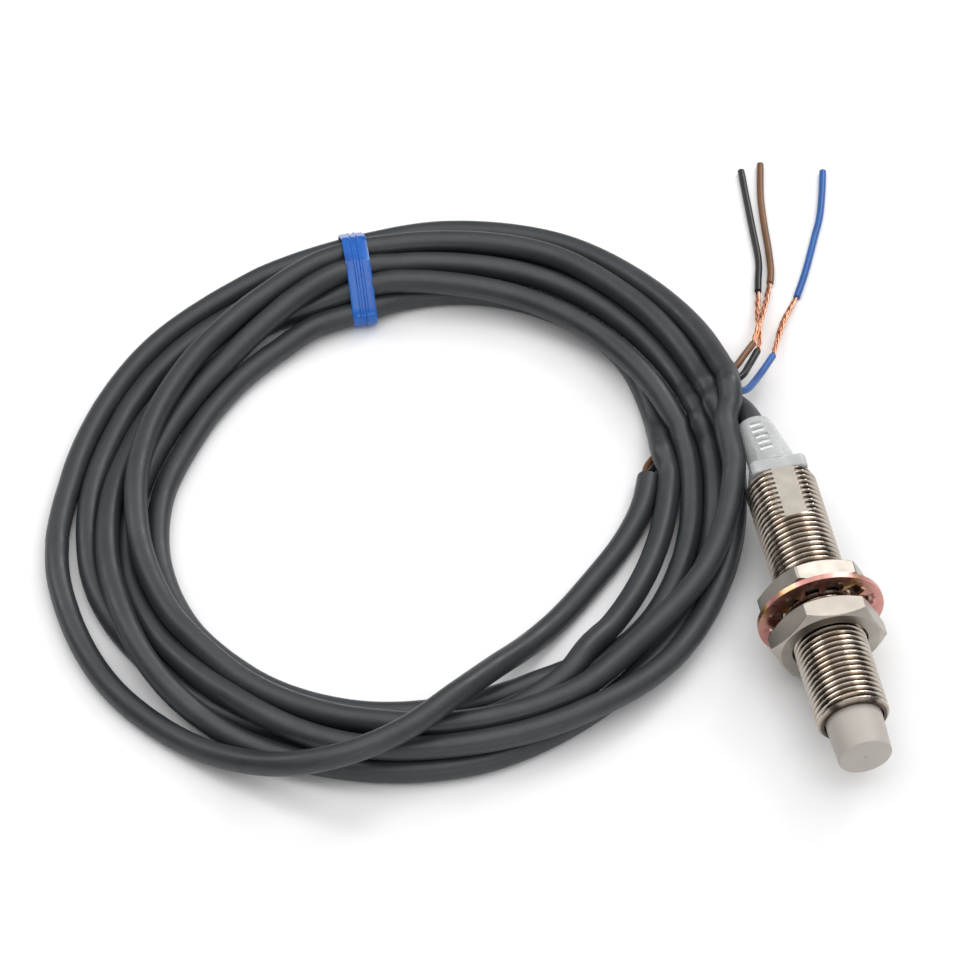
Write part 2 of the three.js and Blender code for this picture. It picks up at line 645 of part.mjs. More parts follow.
function addTieTail() {
  const start = TIE_ANGLE + TIE_TAIL_START;
  const points = [];
  for (let i = 0; i < TIE_TAIL_POINTS; i += 1) {
    const angle = start + (TIE_TAIL_ANGLE * i) / (TIE_TAIL_POINTS - 1);
    const radius = coilRadius(COIL_OUTER_RADIUS, angle) + CLEARANCE * 2 + TIE_THICKNESS / 2;
    points.push(new THREE.Vector3(...coilPoint(radius, angle, TIE_WIDTH / 2 + CLEARANCE)));
  }
  const section = new THREE.Shape();
  section.moveTo(-TIE_WIDTH / 2, -TIE_THICKNESS / 2);
  section.lineTo(TIE_WIDTH / 2, -TIE_THICKNESS / 2);
  section.lineTo(TIE_WIDTH / 2, TIE_THICKNESS / 2);
  section.lineTo(-TIE_WIDTH / 2, TIE_THICKNESS / 2);
  const path = new THREE.CatmullRomCurve3(points);
  addMesh(lead, 'tie_tail',
    new THREE.ExtrudeGeometry(section, { steps: 8, extrudePath: path }), tieVinyl);
}

function addConductors() {
  for (const { name, colour, root, bare, slug } of CONDUCTORS) {
    const insulation = finish(colour, 0.5, 0);
    addMesh(lead, `wire_${name}`, tube(root, CORE_WIRE_DIAMETER, 14), insulation);
    addMesh(lead, `strands_${name}`, tube(bare, STRAND_DIAMETER, 6), bareCopper);
    addMesh(lead, `slug_${name}`, tube(slug, CORE_WIRE_DIAMETER, 8), insulation);
  }
}

addBarrel();
addCap();
addCore();
addBobbin();
addWinding();
addCoilLeads();
addBoard();
addBoardParts();
addClamp();
addInnerWires();
addNut('front_nut', NUT_FRONT_STATION, NUT_FRONT_ROLL);
addWasher();
addNut('rear_nut', NUT_REAR_STATION, NUT_REAR_ROLL);
addLeadCord();
addCoil();
addTailCord();
addTieBand();
addTieTail();
addConductors();

export default group;
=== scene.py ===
"""The looks of an M12 proximity sensor with two nuts, a toothed washer and a tied lead.

Metres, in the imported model's frame: the sensor's axis runs along Y, its sensing face
towards -Y. A turn angle is measured about that axis from straight up towards +X, and a
station is a distance behind the sensing face. Most sizes are written in millimetres.
"""

import math

import bmesh
import bpy
import numpy as np
from mathutils import Matrix, Vector


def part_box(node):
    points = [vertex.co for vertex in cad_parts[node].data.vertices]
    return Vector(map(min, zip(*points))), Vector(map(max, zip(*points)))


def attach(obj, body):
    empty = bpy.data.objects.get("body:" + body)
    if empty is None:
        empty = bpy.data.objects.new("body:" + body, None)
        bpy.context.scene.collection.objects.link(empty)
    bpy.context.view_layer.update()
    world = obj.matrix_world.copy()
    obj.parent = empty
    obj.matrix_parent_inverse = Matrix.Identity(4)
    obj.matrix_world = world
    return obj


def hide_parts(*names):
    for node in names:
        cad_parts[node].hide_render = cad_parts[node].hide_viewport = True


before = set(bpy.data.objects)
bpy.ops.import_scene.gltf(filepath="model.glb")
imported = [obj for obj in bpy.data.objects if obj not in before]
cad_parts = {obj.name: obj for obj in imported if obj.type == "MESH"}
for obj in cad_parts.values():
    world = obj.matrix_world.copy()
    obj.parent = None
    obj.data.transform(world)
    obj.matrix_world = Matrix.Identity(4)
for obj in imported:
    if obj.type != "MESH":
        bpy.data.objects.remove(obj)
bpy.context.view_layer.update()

MM = 0.001


# ---- places taken from the frame ------------------------------------------

def span(node, axis):
    """Lowest and highest coordinate of a CAD node along an axis, in millimetres."""
    low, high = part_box(node)
    return low[axis] / MM, high[axis] / MM


FACE_Y = span("sensing_cap", 1)[0]
AXIS_Z = sum(span("barrel", 2)) / 2
THREAD_RADIUS = span("barrel", 0)[1]
BARREL_FRONT, BARREL_REAR = (y - FACE_Y for y in span("barrel", 1))
CAP_REAR = span("sensing_cap", 1)[1] - FACE_Y
CLAMP_FRONT, CLAMP_REAR = (y - FACE_Y for y in span("cable_clamp", 1))

# ---- sizes in millimetres, as on the CAD model ----------------------------

PITCH = 1.0
THREAD_DEPTH = 0.61
CHAMFER = 0.6
FLAT_LENGTH = 10.0
FLAT_DISTANCE = 5.05
BORE_RADIUS = 4.6
CAP_SEAT_RADIUS = 4.95
CAP_SEAT_REAR = 11.3
CAP_RADIUS = 4.65
CAP_FACE_RADIUS = 4.4
NUT_ACROSS_FLATS = 17.0
NUT_ROLLS = {"front_nut": 4.0, "rear_nut": 7.0}
WASHER_ROOT = 8.75
WASHER_TIP = 6.3
WASHER_TEETH = 12
CORD_DIAMETER = 4.0
WIRE_DIAMETER = 1.25
STRAND_DIAMETER = 0.34
CLAMP_FLANGE = (55.3, 57.8)
CLAMP_FLANGE_RADIUS = 5.9
CLAMP_FLANGE_HALF = (4.7, 4.3)
CLAMP_LEAN = 1.2
BOOT_RADII = (4.2, 3.0)
BOOT_BORE_RADIUS = 2.3

# The lead's route behind the clamp, and the last turn over the coil, as in the CAD model.
LEAD_ROUTE = [
    (0, 23.9, 10.5), (-0.6, 28.9, 10.5), (-1.2, 33.9, 10.5), (-1.8, 37.5, 9.7),
    (-2.5, 41, 7.6), (-3.1, 44.5, 5.2), (-3.5, 48, 3.2), (-3.95, 52, 2.2), (-5.3, 57, 2.05),
]
TAIL_ROUTE = [
    (-118.7, 40, 2.2), (-118.9, 24.3, 2.05), (-114.3, 9.3, 2.05), (-105, -3, 2.4),
    (-96.2, -10.6, 5), (-88.4, -15.2, 8.8), (-79.5, -16.2, 10.9), (-70, -13.6, 11),
    (-61, -8.6, 10.6), (-53.4, -2.6, 7.2), (-46.5, 3, 3.6), (-40, 8.2, 2.1),
    (-33.2, 14.2, 2.05), (-26.6, 20.7, 2.05), (-21.6, 27.6, 2.05), (-19.2, 33.1, 2.05),
]

# The coil's turns, counter-clockwise from above. Each row is one turn: the radius every
# 20 degrees, and how high the turn lies there, in cord diameters above the floor's layer.
# Both tables were printed by a separate script, from radii and heights read by eye; only
# 19 of the heights were changed by hand after that.
COIL_CENTRE = (-61.5, 38.4)
COIL_START = 30
COIL_STEP = 20
TURN_RADII = [
    [58.5, 54.5, 51, 48.5, 48, 49, 50, 51.5, 52.5, 52, 51, 49.5, 48, 47.5, 45.5, 45, 46, 47.5],
    [49, 47.5, 45, 42.5, 38.5, 37, 37, 39.5, 42, 44, 44.5, 44.5, 44.5, 45.5, 49, 49.5, 49, 47.5],
    [46.5, 45, 43, 42, 42.5, 43.5, 45, 47, 50.5, 53.5, 55.5, 55, 55, 54.5, 54, 54, 53.5, 53.5],
    [53, 51.5, 48, 44.5, 41, 39.5, 41, 44, 47.5, 49, 51, 52.5, 53, 54.5, 57, 57, 56.5, 55.5],
    [55.5, 55.5, 52.5, 49, 45.5, 43.5, 43, 43.5, 44.5, 46, 47, 48, 50, 52, 52, 55.5, 57.5, 58.5],
    [59.5, 60, 57.5, 53.5, 52, 52, 52.5],
]
TURN_LAYERS = [
    [0, 0, 0, 0, 0, 0, 0, 0, 0, 0, 0, 0, 0.1, 0.9, 0.4, 0, 0.3, 0.4],
    [0.1, 0, 0, 0, 0, 0, 0, 0, 0, 0, 0, 0, 0, 0, 0, 0.6, 1.2, 1.3],
    [1.1, 1, 0.9, 0.6, 0.1, 0, 0, 0.5, 0.9, 1, 0.7, 0, 0, 0, 0, 0.1, 0.6, 1.1],
    [0.8, 0.6, 0.9, 1, 1, 0.9, 0.1, 0, 0, 0.3, 0.8, 1, 0.7, 0.8, 1, 1.2, 1.6, 1.9],
    [1.4, 1, 1, 1, 1, 1, 1, 1, 0.9, 1, 1, 1, 1.2, 1.7, 1.2, 1.7, 2.5, 2.8],
    [1.9, 0.6, 0.1, 0, 0, 0, 0],
]
FLOOR_LAYER = 2.05

# Each conductor: its insulated root, the bared strands and the slug on their ends.
CONDUCTORS = {
    "brown": {
        "root": [
            (-19.8, 33.6, 1.6), (-18.7, 36.3, 1), (-15.4, 39.5, 0.7), (-12, 42.2, 0.8),
            (-9, 44.4, 2.6), (-6.6, 46.2, 5.2), (-4, 47.4, 7.1), (-0.7, 48.9, 7.6),
            (1.7, 51.8, 6.7), (4.1, 54.8, 5.6),
        ],
        "bare": [(4.3, 55.2, 5.5), (7, 60.6, 4.6), (9.4, 65.9, 2.6), (11.2, 70.3, 1.2)],
        "slug": [
            (11.4, 70.7, 1.1), (12.2, 73.2, 0.8), (13.1, 78.5, 0.65), (13.8, 84.4, 0.65),
            (14.7, 90.4, 0.65), (16.5, 97.9, 0.65),
        ],
    },
    "black": {
        "root": [
            (-19.05, 33.4, 2.95), (-17.5, 35.5, 1.8), (-14.2, 37.9, 0.7), (-11.2, 40.1, 0.8),
            (-8.8, 42.1, 3.2), (-6.5, 43.7, 6.2), (-3.6, 45, 8.5), (-0.3, 46.3, 8.2),
            (2.2, 49.8, 6.6), (4.5, 53.2, 5.5),
        ],
        "bare": [(4.75, 53.6, 5.3), (6.4, 58.9, 3.1), (7.5, 64.2, 1.7), (8.8, 69, 1)],
        "slug": [
            (8.9, 69.4, 1.1), (9.6, 72, 0.8), (10.7, 76, 0.65), (11.5, 83.7, 0.65),
            (12.3, 92.2, 0.65), (12.8, 97.1, 0.65),
        ],
    },
    "blue": {
        "root": [
            (-18.35, 33.2, 1.6), (-16.2, 34.3, 0.8), (-13.3, 36.2, 0.7), (-10.7, 37.7, 1.3),
            (-8.5, 39.1, 3.8), (-6.4, 40.3, 6.9), (-3.9, 41.2, 10.1), (-2.2, 41.7, 10.5),
            (-0.4, 42.5, 9.4), (3.3, 47.2, 6.6), (7, 52.2, 4.7),
        ],
        "bare": [(7.2, 52.6, 4.6), (9.4, 57.4, 3), (11.6, 61.6, 2), (14.9, 66.4, 1)],
        "slug": [
            (15.2, 66.8, 0.9), (18.2, 72.3, 0.65), (21.8, 79.7, 0.65), (23.7, 83.7, 0.65),
            (25.4, 88.6, 0.65), (27, 94, 0.65),
        ],
    },
}

TIE_ANGLE = 86.9
TIE_WIDTH = 4.2
STRAP_GAP = 0.45
TIE_END_ANGLES = (2.5, 17)


def lean(station):
    """How far the clamp's boot, and the lead in it, lean towards -X at a station."""
    share = (station - CLAMP_FLANGE[1]) / (CLAMP_REAR - CLAMP_FLANGE[1])
    return -CLAMP_LEAN * np.clip(share, 0, None)


# ---- camera, lights, floor ------------------------------------------------

CAMERA_TARGET = Vector((-46.8, 40.0, 0.1)) * MM
CAMERA_DISTANCE = 0.75
CAMERA_AZIMUTH = math.radians(-12.07)
CAMERA_ELEVATION = math.radians(53.27)
CAMERA_ROLL = math.radians(0.11)
CAMERA_LENS = 166.6


def from_angles(azimuth, elevation):
    """The unit vector towards an azimuth (0 is -Y, 90 is +X) and elevation in radians."""
    flat = math.cos(elevation)
    return Vector((math.sin(azimuth) * flat, -math.cos(azimuth) * flat, math.sin(elevation)))


def link(thing):
    bpy.context.scene.collection.objects.link(thing)
    return thing


def add_camera():
    direction = from_angles(CAMERA_AZIMUTH, CAMERA_ELEVATION)
    data = bpy.data.cameras.new("camera")
    data.lens = CAMERA_LENS
    data.sensor_width = 36
    camera = link(bpy.data.objects.new("camera", data))
    turn = direction.to_track_quat("Z", "Y") @ Matrix.Rotation(CAMERA_ROLL, 3, "Z").to_quaternion()
    camera.matrix_world = Matrix.LocRotScale(
        CAMERA_TARGET + direction * CAMERA_DISTANCE, turn, None)
    bpy.context.scene.camera = camera


def add_softbox(name, azimuth, elevation, distance, size, power):
    direction = from_angles(math.radians(azimuth), math.radians(elevation))
    data = bpy.data.lights.new(name, "AREA")
    data.shape = "RECTANGLE"
    data.size, data.size_y = size
    data.energy = power
    box = link(bpy.data.objects.new(name, data))
    place = CAMERA_TARGET + direction * distance
    box.matrix_world = Matrix.LocRotScale(place, direction.to_track_quat("Z", "Y"), None)


def add_room():
    """A pale room: white to the camera, darker low down on the left for the metal to mirror."""
    world = bpy.data.worlds.new("room")
    bpy.context.scene.world = world
    world.use_nodes = True
    nodes, links = world.node_tree.nodes, world.node_tree.links
    direction = nodes.new("ShaderNodeTexCoord").outputs["Generated"]
    split = nodes.new("ShaderNodeSeparateXYZ")
    links.new(direction, split.inputs[0])
    height = nodes.new("ShaderNodeValToRGB")
    side = nodes.new("ShaderNodeValToRGB")
    ramp_stops(height, [(0.0, (0.05,) * 3), (0.3, (0.15,) * 3), (0.6, (0.75,) * 3),
                        (0.85, (0.8,) * 3), (1, (0.35,) * 3)])
    ramp_stops(side, [(0.0, (0.3,) * 3), (0.5, (1.0,) * 3), (0.8, (1.1,) * 3)])
    links.new(split.outputs["Z"], height.inputs[0])
    across = nodes.new("ShaderNodeMapRange")
    across.inputs["From Min"].default_value = -1
    links.new(split.outputs["X"], across.inputs["Value"])
    links.new(across.outputs[0], side.inputs[0])
    product = nodes.new("ShaderNodeMix")
    product.data_type = "RGBA"
    product.blend_type = "MULTIPLY"
    product.inputs["Factor"].default_value = 1
    links.new(height.outputs[0], product.inputs["A"])
    links.new(side.outputs[0], product.inputs["B"])
    seen = nodes.new("ShaderNodeMix")
    seen.data_type = "RGBA"
    seen.inputs["B"].default_value = (1, 1, 1, 1)
    links.new(nodes.new("ShaderNodeLightPath").outputs["Is Camera Ray"], seen.inputs["Factor"])
    links.new(product.outputs["Result"], seen.inputs["A"])
    links.new(seen.outputs["Result"], nodes["Background"].inputs["Color"])


def ramp_stops(ramp, stops):
    elements = ramp.color_ramp.elements
    while len(elements) < len(stops):
        elements.new(0.5)
    for element, (position, colour) in zip(elements, stops):
        element.position = position
        element.color = (*colour, 1)


def add_floor():
    reach = 3.0
    mesh = bpy.data.meshes.new("floor")
    corners = [(-reach, -reach, 0), (reach, -reach, 0), (reach, reach, 0), (-reach, reach, 0)]
    mesh.from_pydata(corners, [], [(0, 1, 2, 3)])
    floor = link(bpy.data.objects.new("floor", mesh))
    paper = Finish("floor_paper", {"Roughness": 0.9})
    paper.colour(paper.noise(8), [(0.3, (0.86, 0.86, 0.865)), (0.7, (0.88, 0.88, 0.88))])
    mesh.materials.append(paper.material)


# ---- materials ------------------------------------------------------------

class Finish:
    """A procedural material: one Principled shader, fed by textures in object space."""

    def __init__(self, name, constants):
        self.material = bpy.data.materials.new(name)
        self.material.use_nodes = True
        self.tree = self.material.node_tree
        self.shader = self.tree.nodes["Principled BSDF"]
        for socket, value in constants.items():
            self.shader.inputs[socket].default_value = value
        self.place = self.tree.nodes.new("ShaderNodeTexCoord").outputs["Object"]

    def node(self, kind, inputs):
        node = self.tree.nodes.new(kind)
        for socket, value in inputs.items():
            if isinstance(value, bpy.types.NodeSocket):
                self.tree.links.new(value, node.inputs[socket])
            else:
                node.inputs[socket].default_value = value
        return node

    def stretched(self, scale):
        """Object space in millimetres, scaled along X, Y and Z."""
        factors = [s / MM for s in scale]
        return self.node("ShaderNodeMapping", {"Vector": self.place, "Scale": factors}).outputs[0]

    def noise(self, size, detail=3.0, stretch=(1, 1, 1)):
        """Noise whose blobs are about size millimetres across."""
        inputs = {"Vector": self.stretched(stretch), "Scale": 1 / size, "Detail": detail}
        return self.node("ShaderNodeTexNoise", inputs).outputs["Fac"]

    def ramp(self, factor, stops):
        ramp = self.node("ShaderNodeValToRGB", {"Fac": factor})
        ramp_stops(ramp, stops)
        return ramp.outputs["Color"]

    def colour(self, factor, stops):
        self.feed("Base Color", self.ramp(factor, stops))

    def scaled(self, factor, low, high, start=0.0, end=1.0):
        inputs = {
            "Value": factor, "From Min": start, "From Max": end, "To Min": low, "To Max": high,
        }
        return self.node("ShaderNodeMapRange", inputs).outputs[0]

    def roughness(self, factor, low, high):
        self.feed("Roughness", self.scaled(factor, low, high, 0.3, 0.7))

    def bump(self, height, depth, strength=1.0):
        """Bumps of depth millimetres, on top of any that the shader already has."""
        inputs = {"Height": height, "Distance": depth * MM, "Strength": strength}
        if self.shader.inputs["Normal"].is_linked:
            inputs["Normal"] = self.shader.inputs["Normal"].links[0].from_socket
        self.feed("Normal", self.node("ShaderNodeBump", inputs).outputs[0])

    def mixed(self, factor, first, second, blend="MIX"):
        node = self.tree.nodes.new("ShaderNodeMix")
        node.data_type = "RGBA"
        node.blend_type = blend
        for socket, value in (("Factor", factor), ("A", first), ("B", second)):
            if isinstance(value, bpy.types.NodeSocket):
                self.tree.links.new(value, node.inputs[socket])
            else:
                node.inputs[socket].default_value = value
        return node.outputs["Result"]

    def from_axis(self, low, high):
        """0 to 1 as a point goes from low to high millimetres off the sensor's axis."""
        moved = self.node("ShaderNodeMapping", {
            "Vector": self.place, "Location": (0, 0, -AXIS_Z), "Scale": (1 / MM, 0, 1 / MM),
        }).outputs[0]
        length = self.tree.nodes.new("ShaderNodeVectorMath")
        length.operation = "LENGTH"
        self.tree.links.new(moved, length.inputs[0])
        return self.scaled(length.outputs["Value"], 0, 1, low, high)

    def feed(self, socket, output):
        self.tree.links.new(output, self.shader.inputs[socket])


def thread_nickel():
    """Bright nickel over brass, with warm painted shade darkening the thread's root."""
    metal = Finish("nickel_thread", {"Metallic": 1.0})
    depth = metal.from_axis(THREAD_RADIUS - THREAD_DEPTH, THREAD_RADIUS)
    # Painted shade: the colour darkens from the crest down to the thread's root.
    root_painted_shade = metal.ramp(depth, [(0, (0.10, 0.075, 0.055)), (0.45, (0.36, 0.315, 0.27)),
                               (1, (0.62, 0.575, 0.52))])
    stain = metal.ramp(metal.noise(3.5), [(0.35, (0.86, 0.82, 0.78)), (0.65, (1, 1, 1))])
    metal.feed("Base Color", metal.mixed(1.0, root_painted_shade, stain, "MULTIPLY"))
    metal.roughness(metal.noise(1.2), 0.16, 0.3)
    metal.bump(metal.noise(0.25, stretch=(1, 3, 1)), 0.01, 0.35)
    return metal.material


def satin_nickel():
    """Satin nickel of the nuts and the barrel's flats, with faint rubbed patches."""
    metal = Finish("nickel_satin", {"Metallic": 1.0})
    rubbed = metal.noise(4.0, 4)
    metal.colour(rubbed, [(0.3, (0.36, 0.33, 0.29)), (0.55, (0.41, 0.375, 0.33)),
                          (0.75, (0.46, 0.425, 0.38))])
    metal.roughness(metal.noise(1.5), 0.3, 0.42)
    metal.bump(metal.noise(0.12, 5, (1, 0.3, 1)), 0.008, 0.4)
    return metal.material


def yellow_chromate():
    """Zinc with yellow chromate: bands of pink, gold and olive."""
    metal = Finish("yellow_chromate", {"Metallic": 1.0})
    drift = metal.noise(7.0, 2)
    metal.colour(drift, [(0.32, (0.32, 0.10, 0.06)), (0.42, (0.62, 0.28, 0.26)),
                         (0.5, (0.62, 0.33, 0.28)), (0.6, (0.60, 0.36, 0.12)),
                         (0.7, (0.34, 0.33, 0.14))])
    metal.roughness(metal.noise(1.0), 0.24, 0.4)
    metal.bump(metal.noise(0.3), 0.01, 0.4)
    return metal.material


def moulded(name, dark, light, rough, grain=0.5, constants=None):
    """Moulded plastic: a slow drift of shade and a fine grain."""
    plastic = Finish(name, constants or {})
    plastic.colour(plastic.noise(6.0), [(0.3, dark), (0.7, light)])
    plastic.roughness(plastic.noise(1.0), rough - 0.05, rough + 0.05)
    plastic.bump(plastic.noise(0.15, 4), 0.006, grain)
    return plastic.material


def clamp_plastic():
    """Milky, translucent plastic of the cable clamp."""
    return moulded("clamp_plastic", (0.66, 0.68, 0.68), (0.76, 0.78, 0.78), 0.24, 0.05, {
        "Transmission Weight": 0.45, "IOR": 1.42,
    })


def jacket_vinyl():
    """Grey vinyl jacket: semi-matt, with scuffs and faint flow marks."""
    vinyl = Finish("jacket_vinyl", {"Specular IOR Level": 0.5})
    shade = vinyl.ramp(vinyl.noise(9.0, 3), [(0.3, (0.020, 0.024, 0.027)),
                                             (0.7, (0.028, 0.033, 0.037))])
    scuff = vinyl.ramp(vinyl.noise(0.9, 6), [(0.55, (1, 1, 1)), (0.8, (1.35, 1.35, 1.35))])
    vinyl.feed("Base Color", vinyl.mixed(1.0, shade, scuff, "MULTIPLY"))
    vinyl.roughness(vinyl.noise(2.5, 4), 0.38, 0.5)
    vinyl.bump(vinyl.noise(0.35, 4), 0.02, 0.35)
    return vinyl.material


def wire_vinyl(name, dark, light):
    return moulded(name, dark, light, 0.36, 0.3)


def bare_copper():
    metal = Finish("bare_copper", {"Metallic": 1.0})
    metal.colour(metal.noise(1.6), [(0.3, (0.62, 0.27, 0.15)), (0.5, (0.80, 0.42, 0.27)),
                                    (0.7, (0.92, 0.58, 0.42))])
    metal.roughness(metal.noise(0.8), 0.22, 0.36)
    return metal.material


def winding_copper():
    """Fine enamelled wire, wound in rings about the sensor's axis."""
    metal = Finish("winding_copper", {"Metallic": 1.0, "Roughness": 0.3})
    rings = metal.node("ShaderNodeTexWave", {"Vector": metal.stretched((0, 1, 0)), "Scale": 1.2})
    rings.bands_direction = "Y"
    metal.colour(rings.outputs["Fac"], [(0.1, (0.22, 0.07, 0.03)), (0.8, (0.62, 0.24, 0.11))])
    metal.bump(rings.outputs["Fac"], 0.05)
    return metal.material


def board_laminate():
    """Green solder mask over faintly raised copper tracks."""
    board = Finish("board_laminate", {"Roughness": 0.35})
    tracks = board.node("ShaderNodeTexBrick", {
        "Vector": board.stretched((1, 1, 1)), "Scale": 0.5, "Mortar Size": 0.12,
    }).outputs["Fac"]
    board.colour(tracks, [(0.0, (0.010, 0.075, 0.025)), (1.0, (0.028, 0.15, 0.055))])
    board.bump(tracks, 0.03, 0.6)
    return board.material


def led_lens():
    return moulded("led_lens", (0.75, 0.30, 0.04), (0.9, 0.42, 0.08), 0.15, 0.1,
                   {"Transmission Weight": 0.6, "IOR": 1.5})


def finish_inner_parts():
    """Gives each CAD node inside the barrel, kept as it is, its procedural material."""
    chip = moulded("chip_epoxy", (0.016, 0.016, 0.018), (0.03, 0.03, 0.032), 0.5)
    ceramic = moulded("chip_ceramic", (0.36, 0.25, 0.13), (0.45, 0.33, 0.19), 0.4)
    copper = winding_copper()
    kept = {
        "ferrite_core": moulded("ferrite", (0.03, 0.028, 0.027), (0.055, 0.05, 0.048), 0.7, 1.0),
        "coil_bobbin": moulded("bobbin_plastic", (0.7, 0.64, 0.5), (0.78, 0.72, 0.58), 0.45),
        "coil_winding": copper, "coil_lead_1": copper, "coil_lead_2": copper,
        "circuit_board": board_laminate(),
        "oscillator_ic": chip, "output_transistor": chip,
        "resistor_1": chip, "resistor_2": chip, "resistor_3": chip,
        "tuning_capacitor": ceramic, "supply_capacitor": ceramic,
        "surge_diode": moulded("diode_glass", (0.45, 0.11, 0.04), (0.6, 0.18, 0.07), 0.15, 0.1),
        "indicator_led": led_lens(),
        "inner_wire_brown": WIRE_FINISHES["brown"],
        "inner_wire_black": WIRE_FINISHES["black"],
        "inner_wire_blue": WIRE_FINISHES["blue"],
    }
    for name, material in kept.items():
        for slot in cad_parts[name].material_slots:
            slot.material = material


# ---- making pieces --------------------------------------------------------

def settle_in(piece, body, replaced):
    """Rides the piece on its body and hides the CAD nodes it stands for."""
    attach(piece, body)
    if replaced:
        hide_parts(*replaced)
    return piece


def grid_faces(columns, rows, close_rows):
    """Quads over a grid of columns of points; close_rows joins the last row to the first."""
    last = rows if close_rows else rows - 1
    faces = []
    for i in range(columns - 1):
        for j in range(last):
            k = (j + 1) % rows
            faces.append((i * rows + j, i * rows + k, (i + 1) * rows + k, (i + 1) * rows + j))
    return faces


def mesh_piece(name, grids, materials, sharp=35):
    """One clean mesh from grids of points in millimetres, (points[column][row], close_rows)."""
    mesh = bpy.data.meshes.new(name)
    vertices, faces = [], []
    for points, close_rows in grids:
        columns, rows = points.shape[:2]
        start = len(vertices)
        vertices.extend((points.reshape(-1, 3) * MM).tolist())
        faces.extend([tuple(start + v for v in f) for f in grid_faces(columns, rows, close_rows)])
    mesh.from_pydata(vertices, [], faces)
    work = bmesh.new()
    work.from_mesh(mesh)
    bmesh.ops.remove_doubles(work, verts=work.verts, dist=2e-6)
    bmesh.ops.dissolve_degenerate(work, edges=work.edges, dist=1e-6)
    bmesh.ops.recalc_face_normals(work, faces=work.faces)
    work.to_mesh(mesh)
    work.free()
    for material in materials:
        mesh.materials.append(material)
    mesh.shade_smooth()
    mesh.set_sharp_from_angle(angle=math.radians(sharp))
    return link(bpy.data.objects.new(name, mesh))


def soften(piece, width, segments=2, angle=24):
    """Breaks the piece's sharp edges with a small bevel, width in millimetres."""
    bevel = piece.modifiers.new("edges", "BEVEL")
    bevel.width = width * MM
    bevel.segments = segments
    bevel.limit_method = "ANGLE"
    bevel.angle_limit = math.radians(angle)
    bevel.harden_normals = True


def about_axis(turn, radius, station):
    """Points at turn angles (radians), radii and stations, as an array of x, y, z."""
    turn, radius, station = np.broadcast_arrays(turn, radius, station)
    return np.stack([
        radius * np.sin(turn), FACE_Y + station, AXIS_Z + radius * np.cos(turn)], axis=-1)


def full_turn(columns):
    """Turn angles all round, the first repeated at the end, as a column."""
    return np.linspace(0, 2 * math.pi, columns + 1)[:, None]


def lathed(profile, columns=96):
    """A grid turned about the sensor's axis from (radius, station) pairs."""
    radius, station = np.array(profile, float).T
    return about_axis(full_turn(columns), radius[None, :], station[None, :])


def arc(centre, radius, start, end, steps=6):
    """(radius, station) pairs along an arc, angles in degrees from the radius axis."""
    angles = np.radians(np.linspace(start, end, steps))
    return [(centre[0] + radius * math.cos(a), centre[1] + radius * math.sin(a)) for a in angles]


def curve_piece(name, routes, diameter, material, sides=5):
    """A round cord or wire along each route, in millimetres, as one curve object."""
    data = bpy.data.curves.new(name, "CURVE")
    data.dimensions = "3D"
    data.bevel_depth = diameter / 2 * MM
    data.bevel_resolution = sides
    data.use_fill_caps = True
    for route in routes:
        spline = data.splines.new("POLY")
        spline.points.add(len(route) - 1)
        points = np.ones((len(route), 4))
        points[:, :3] = np.asarray(route) * MM
        spline.points.foreach_set("co", points.ravel())
    data.materials.append(material)
    return link(bpy.data.objects.new(name, data))


# ---- the lead -------------------------------------------------------------

CORD_STEP = 1.5


def smooth_route(points, step):
    """A centripetal Catmull-Rom curve through the points, resampled every step."""
    points = np.asarray(points, float)
    ends = 2 * points[0] - points[1], 2 * points[-1] - points[-2]
    points = np.vstack([ends[0], points, ends[1]])
    dense = []
    for p0, p1, p2, p3 in zip(points, points[1:], points[2:], points[3:]):
        knots = np.cumsum([0] + [np.linalg.norm(b - a) ** 0.5
                                 for a, b in ((p0, p1), (p1, p2), (p2, p3))])
        t = np.linspace(knots[1], knots[2], 16, endpoint=False)[:, None]
        a1, a2, a3 = (
            ((knots[k + 1] - t) * p + (t - knots[k]) * q) / (knots[k + 1] - knots[k])
            for k, (p, q) in enumerate(((p0, p1), (p1, p2), (p2, p3))))
        b1 = ((knots[2] - t) * a1 + (t - knots[0]) * a2) / (knots[2] - knots[0])
        b2 = ((knots[3] - t) * a2 + (t - knots[1]) * a3) / (knots[3] - knots[1])
        dense.append(((knots[2] - t) * b1 + (t - knots[1]) * b2) / (knots[2] - knots[1]))
    dense = np.vstack(dense + [points[-2:-1]])
    reach = np.r_[0, np.cumsum(np.linalg.norm(np.diff(dense, axis=0), axis=1))]
    places = np.linspace(0, reach[-1], max(2, round(reach[-1] / step)) + 1)
    return np.stack([np.interp(places, reach, dense[:, k]) for k in range(3)], axis=1)


def coil_points():
    """Points along the coil's turns, from their radii and layers."""
    radii = [r for turn in TURN_RADII for r in turn]
    layers = [n for turn in TURN_LAYERS for n in turn]
    points = []
    for k, (radius, layer) in enumerate(zip(radii, layers)):
        angle = math.radians(COIL_START + k * COIL_STEP)
        points.append((
            COIL_CENTRE[0] + radius * math.cos(angle),
            COIL_CENTRE[1] + radius * math.sin(angle),
            FLOOR_LAYER + layer * CORD_DIAMETER,
        ))
    return points


def coil_angle(points):
    """The angle of points about the coil's centre, in degrees."""
    x, y = points[:, 0] - COIL_CENTRE[0], points[:, 1] - COIL_CENTRE[1]
    return np.degrees(np.arctan2(y, x)) % 360


def close_pairs(points, others, reach, skip=None):
    """Index pairs of points nearer than reach; skip leaves out neighbours along the cord."""
    found = []
    for start in range(0, len(points), 200):
        gaps = np.linalg.norm(points[start:start + 200, None] - others[None], axis=2)
        i, j = np.nonzero(gaps < reach)
        i = i + start
        keep = np.ones(len(i), bool) if skip is None else j - i > skip
        found.append(np.stack([i[keep], j[keep]], axis=1))
    return np.concatenate(found)


